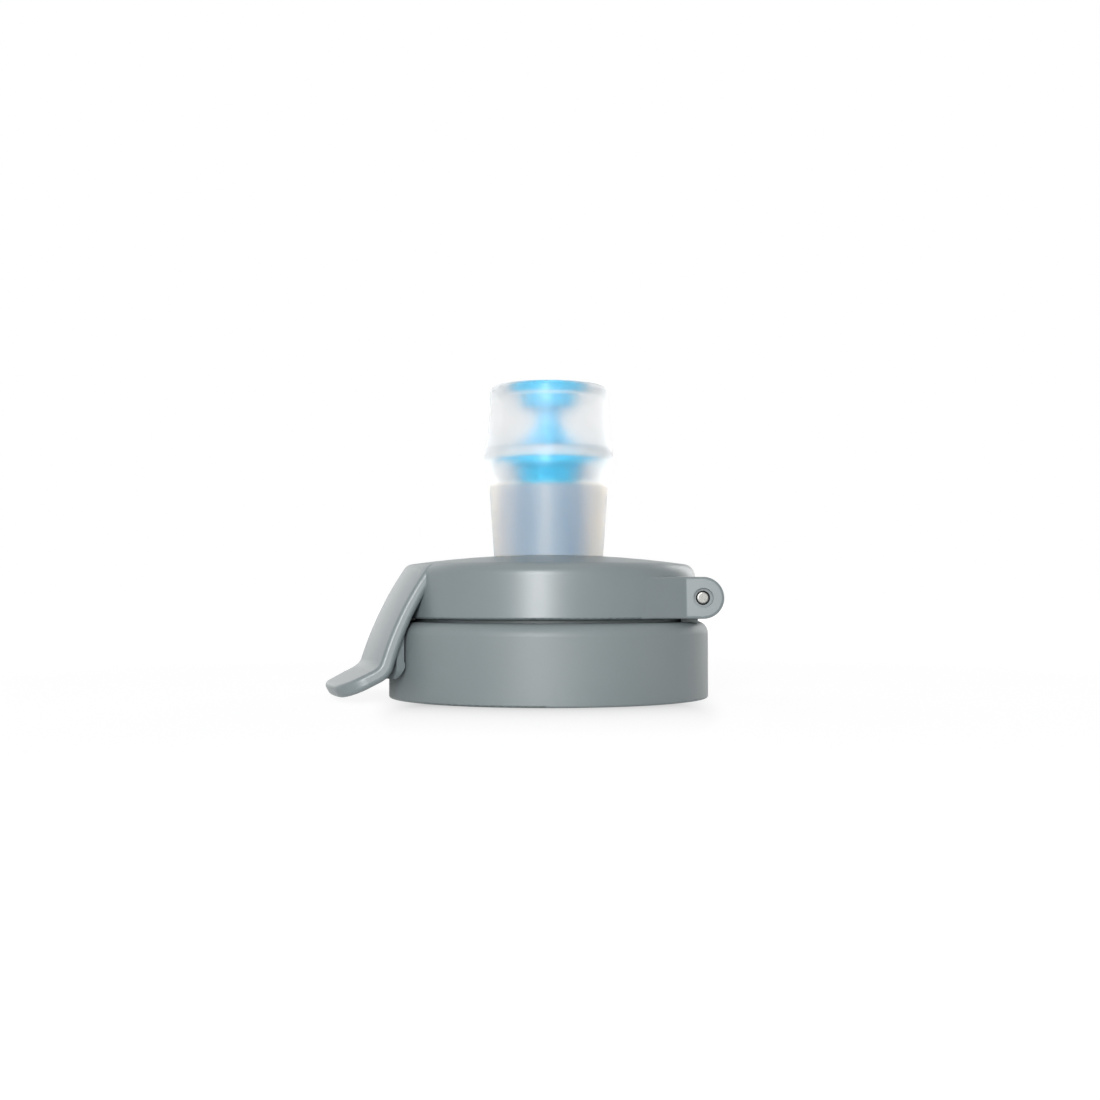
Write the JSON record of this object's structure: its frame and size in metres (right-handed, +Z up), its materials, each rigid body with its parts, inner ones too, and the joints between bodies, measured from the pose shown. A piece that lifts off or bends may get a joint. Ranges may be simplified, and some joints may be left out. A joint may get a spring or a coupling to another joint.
{
  "type": "soft flask cap",
  "caption": "Hinged cap for a soft drinking flask: threaded screw ring, domed flip lid with a latch arm and thumb tab, and a silicone bite valve over a ribbed core.",
  "frame": {"origin": "on the screw ring's axis, in the plane of its bottom rim", "axes": "+Z up along the neck's axis towards the mouthpiece, +X towards the hinge, the latch arm at -X"},
  "size_m": [0.0574, 0.047, 0.0459],
  "materials": {
    "ring_plastic": "fine matte",
    "lid_plastic": "satin",
    "seal_silicone": "smooth",
    "pin_steel": "drawn",
    "core_plastic": "gloss",
    "sheath_silicone": "smooth, milky translucent"
  },
  "bodies": {
    "ring": {"screw_ring": "ring_plastic", "neck_gasket": "seal_silicone"},
    "lid": {"flip_lid": "lid_plastic", "lid_seal": "seal_silicone", "hinge_pin": "pin_steel", "valve_core": "core_plastic", "bite_sheath": "sheath_silicone"}
  },
  "joints": [
    {"name": "lid_hinge", "type": "hinge", "parent": "ring", "child": "lid", "pos_m": [0.0217, 0, 0.0146], "axis": [0, 1, 0], "range_deg": [0, 135]}
  ]
}
